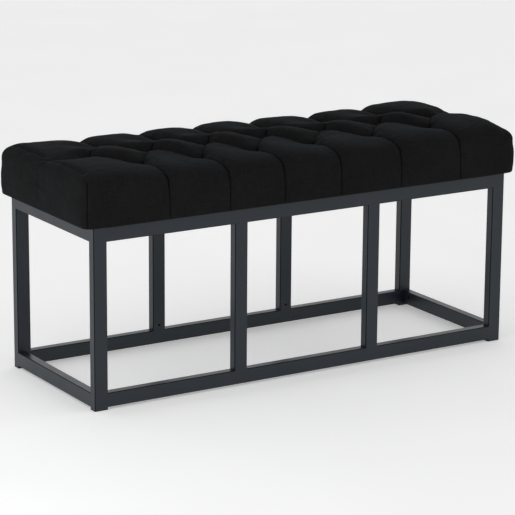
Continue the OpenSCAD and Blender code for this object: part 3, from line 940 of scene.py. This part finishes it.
# ------------------------------------------------------------ ground welds ----
def build_welds():
    """Each tube's end is welded to the next tube and ground flush, which fills the gap that the rounded corners leave."""
    verts, faces = [], []
    r, fill = 0.002, 0.002
    arc = [(math.cos(a), math.sin(a)) for a in (math.radians(15.0 * k) for k in range(7))]

    def outline(w, h):
        pts = []
        for cx, cy, q in ((1, 1, 0), (-1, 1, 1), (-1, -1, 2), (1, -1, 3)):
            for c, s_ in arc:
                for _ in range(q):
                    c, s_ = -s_, c
                pts.append((cx * (w / 2 - r) + c * r, cy * (h / 2 - r) + s_ * r))
        return pts

    def plug(axis, at, out, centre, size):
        pts = outline(*size)
        n = len(pts)
        start = len(verts)
        for d in (-0.0002, fill):
            for a, b in pts:
                p = [0.0, 0.0, 0.0]
                p[axis] = at + out * d
                o = [k for k in range(3) if k != axis]
                p[o[0]], p[o[1]] = centre[0] + a, centre[1] + b
                verts.append(tuple(p))
        for k in range(n):
            m = (k + 1) % n
            q = (start + k, start + m, start + n + m, start + n + k)
            faces.append(q)
        faces.append(tuple(range(start + n - 1, start - 1, -1)))
        faces.append(tuple(range(start + n, start + 2 * n)))

    for name in NODES:
        if not (name.startswith("rail_") or name.startswith("post_") and "_mid_" in name):
            continue
        a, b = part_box(name)
        axis = max(range(3), key=lambda k: b[k] - a[k])
        o = [k for k in range(3) if k != axis]
        centre = [(a[k] + b[k]) / 2 for k in o]
        size = [b[k] - a[k] for k in o]
        plug(axis, a[axis], -1.0, centre, size)
        plug(axis, b[axis], 1.0, centre, size)
    me = bpy.data.meshes.new("ground_welds")
    me.from_pydata(verts, [], faces)
    bm = bmesh.new()
    bm.from_mesh(me)
    bmesh.ops.recalc_face_normals(bm, faces=bm.faces)
    bm.to_mesh(me)
    bm.free()
    ob = bpy.data.objects.new("ground_welds", me)
    bpy.context.scene.collection.objects.link(ob)
    me.materials.append(MATS["frame_steel"])
    return ob


welds = build_welds()
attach(welds, "root")

# ------------------------------------------------------------ floor, light ----
fl = bpy.data.meshes.new("floor")
fl.from_pydata([(-40, -40, 0), (40, -40, 0), (40, 40, 0), (-40, 40, 0)], [], [(0, 1, 2, 3)])
floor = bpy.data.objects.new("floor", fl)
bpy.context.scene.collection.objects.link(floor)
ft = Tree("floor_white")
fl.materials.append(ft.set(Base_Color=ft.ramp(ft.noise(ft.obj, 3.0, 4.0), [(0.3, (0.86, 0.86, 0.86)), (0.7, (0.89, 0.89, 0.89))]),
                           Roughness=0.9, Specular_IOR_Level=0.1,
                           Emission_Color=(1.0, 1.0, 1.0, 1.0), Emission_Strength=0.29))

world = bpy.data.worlds.new("studio")
world.use_nodes = True
wt = world.node_tree
back = wt.nodes["Background"]
back.inputs[0].default_value = (1.0, 1.0, 1.0, 1.0)
# the studio is white all round, and dimmer only on the photographer's side
dirn = wt.nodes.new("ShaderNodeTexCoord")
dotp = wt.nodes.new("ShaderNodeVectorMath")
dotp.operation = "DOT_PRODUCT"
wt.links.new(dirn.outputs["Generated"], dotp.inputs[0])
dotp.inputs[1].default_value = tuple(Vector((-0.56, -0.82, 0.10)).normalized())
dim = wt.nodes.new("ShaderNodeMapRange")
dim.interpolation_type = "SMOOTHSTEP"
for k, v_ in zip(("From Min", "From Max", "To Min", "To Max"), (0.62, 0.92, 1.0, 0.30)):
    dim.inputs[k].default_value = v_
wt.links.new(dotp.outputs["Value"], dim.inputs["Value"])
# and a little softer from straight above
updown = wt.nodes.new("ShaderNodeSeparateXYZ")
wt.links.new(dirn.outputs["Generated"], updown.inputs[0])
high = wt.nodes.new("ShaderNodeMapRange")
high.interpolation_type = "SMOOTHSTEP"
for k, v_ in zip(("From Min", "From Max", "To Min", "To Max"), (0.35, 0.95, 1.0, 0.54)):
    high.inputs[k].default_value = v_
wt.links.new(updown.outputs[2], high.inputs["Value"])
both = wt.nodes.new("ShaderNodeMath")
both.operation = "MULTIPLY"
wt.links.new(dim.outputs[0], both.inputs[0])
wt.links.new(high.outputs[0], both.inputs[1])
# and dimmer on the left, where a near softbox takes over
leftp = wt.nodes.new("ShaderNodeMapRange")
leftp.interpolation_type = "SMOOTHSTEP"
for k, v_ in zip(("From Min", "From Max", "To Min", "To Max"), (-0.95, -0.20, 0.45, 1.0)):
    leftp.inputs[k].default_value = v_
wt.links.new(updown.outputs[0], leftp.inputs["Value"])
trio = wt.nodes.new("ShaderNodeMath")
trio.operation = "MULTIPLY"
wt.links.new(both.outputs[0], trio.inputs[0])
wt.links.new(leftp.outputs[0], trio.inputs[1])
path = wt.nodes.new("ShaderNodeLightPath")
pick_ = wt.nodes.new("ShaderNodeMath")
pick_.operation = "MAXIMUM"
wt.links.new(trio.outputs[0], pick_.inputs[0])
wt.links.new(path.outputs["Is Camera Ray"], pick_.inputs[1])
wt.links.new(pick_.outputs[0], back.inputs[1])
bpy.context.scene.world = world
bpy.context.scene.view_settings.view_transform = "Standard"
bpy.context.scene.view_settings.look = "None"


def softbox(name, place, aim, size, power, tint):
    li = bpy.data.lights.new(name, "AREA")
    li.shape = "RECTANGLE"
    li.size, li.size_y = size
    li.energy = power
    li.color = tint
    ob = bpy.data.objects.new(name, li)
    bpy.context.scene.collection.objects.link(ob)
    d = Vector(aim) - Vector(place)
    ob.rotation_euler = d.to_track_quat("-Z", "Y").to_euler()
    ob.location = place
    return ob


softbox("softbox_top", (-0.6, -0.4, 4.2), (0.0, 0.0, 0.3), (4.5, 4.5), 3.0, (1.0, 1.0, 1.0))
softbox("softbox_left", (-2.3, -0.5, 1.1), (-0.5, 0.0, 0.3), (1.6, 1.6), 14.0, (0.97, 0.985, 1.0))
